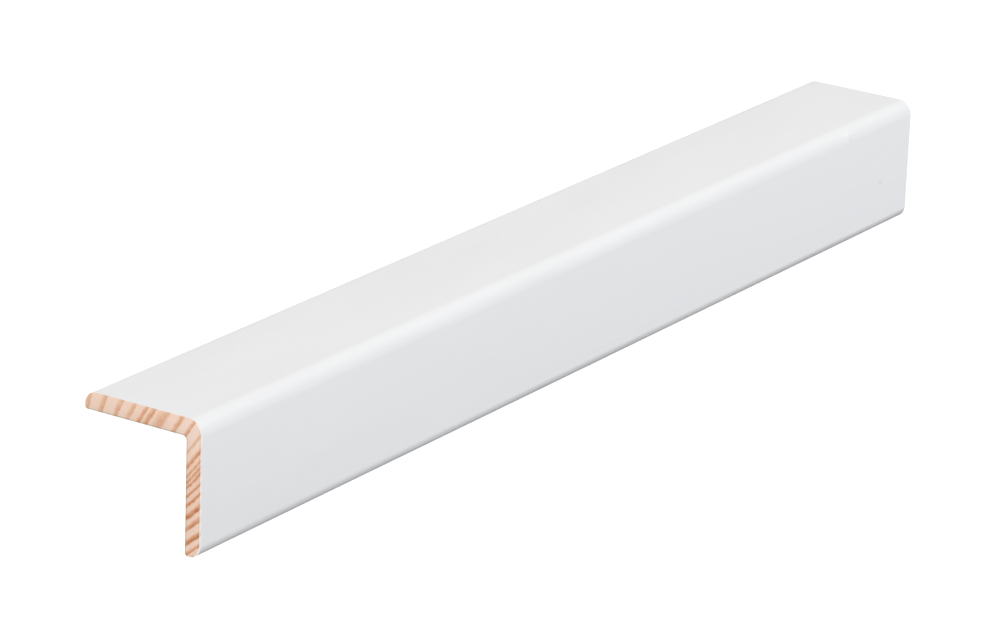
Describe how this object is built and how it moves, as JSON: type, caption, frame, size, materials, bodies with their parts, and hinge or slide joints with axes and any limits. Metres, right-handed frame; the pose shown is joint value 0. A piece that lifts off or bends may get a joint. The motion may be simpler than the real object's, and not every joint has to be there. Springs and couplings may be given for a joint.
{
  "type": "corner moulding",
  "caption": "L-shaped pine moulding with legs of equal width, painted white and rounded over outside, bare inside, cut square at both ends.",
  "frame": {"origin": "middle of the top leg's inner face, half way along the moulding", "axes": "+X along the moulding, +Z out of the top leg's painted face, -Y out of the side leg's painted face"},
  "size_m": [0.29, 0.03, 0.03],
  "materials": {
    "painted_pine": "satin white paint on the outer faces and round the tips; bare planed pine on the inner faces, bare end grain on the cut ends"
  },
  "bodies": {
    "root": {"corner_moulding": "painted_pine"}
  },
  "joints": []
}
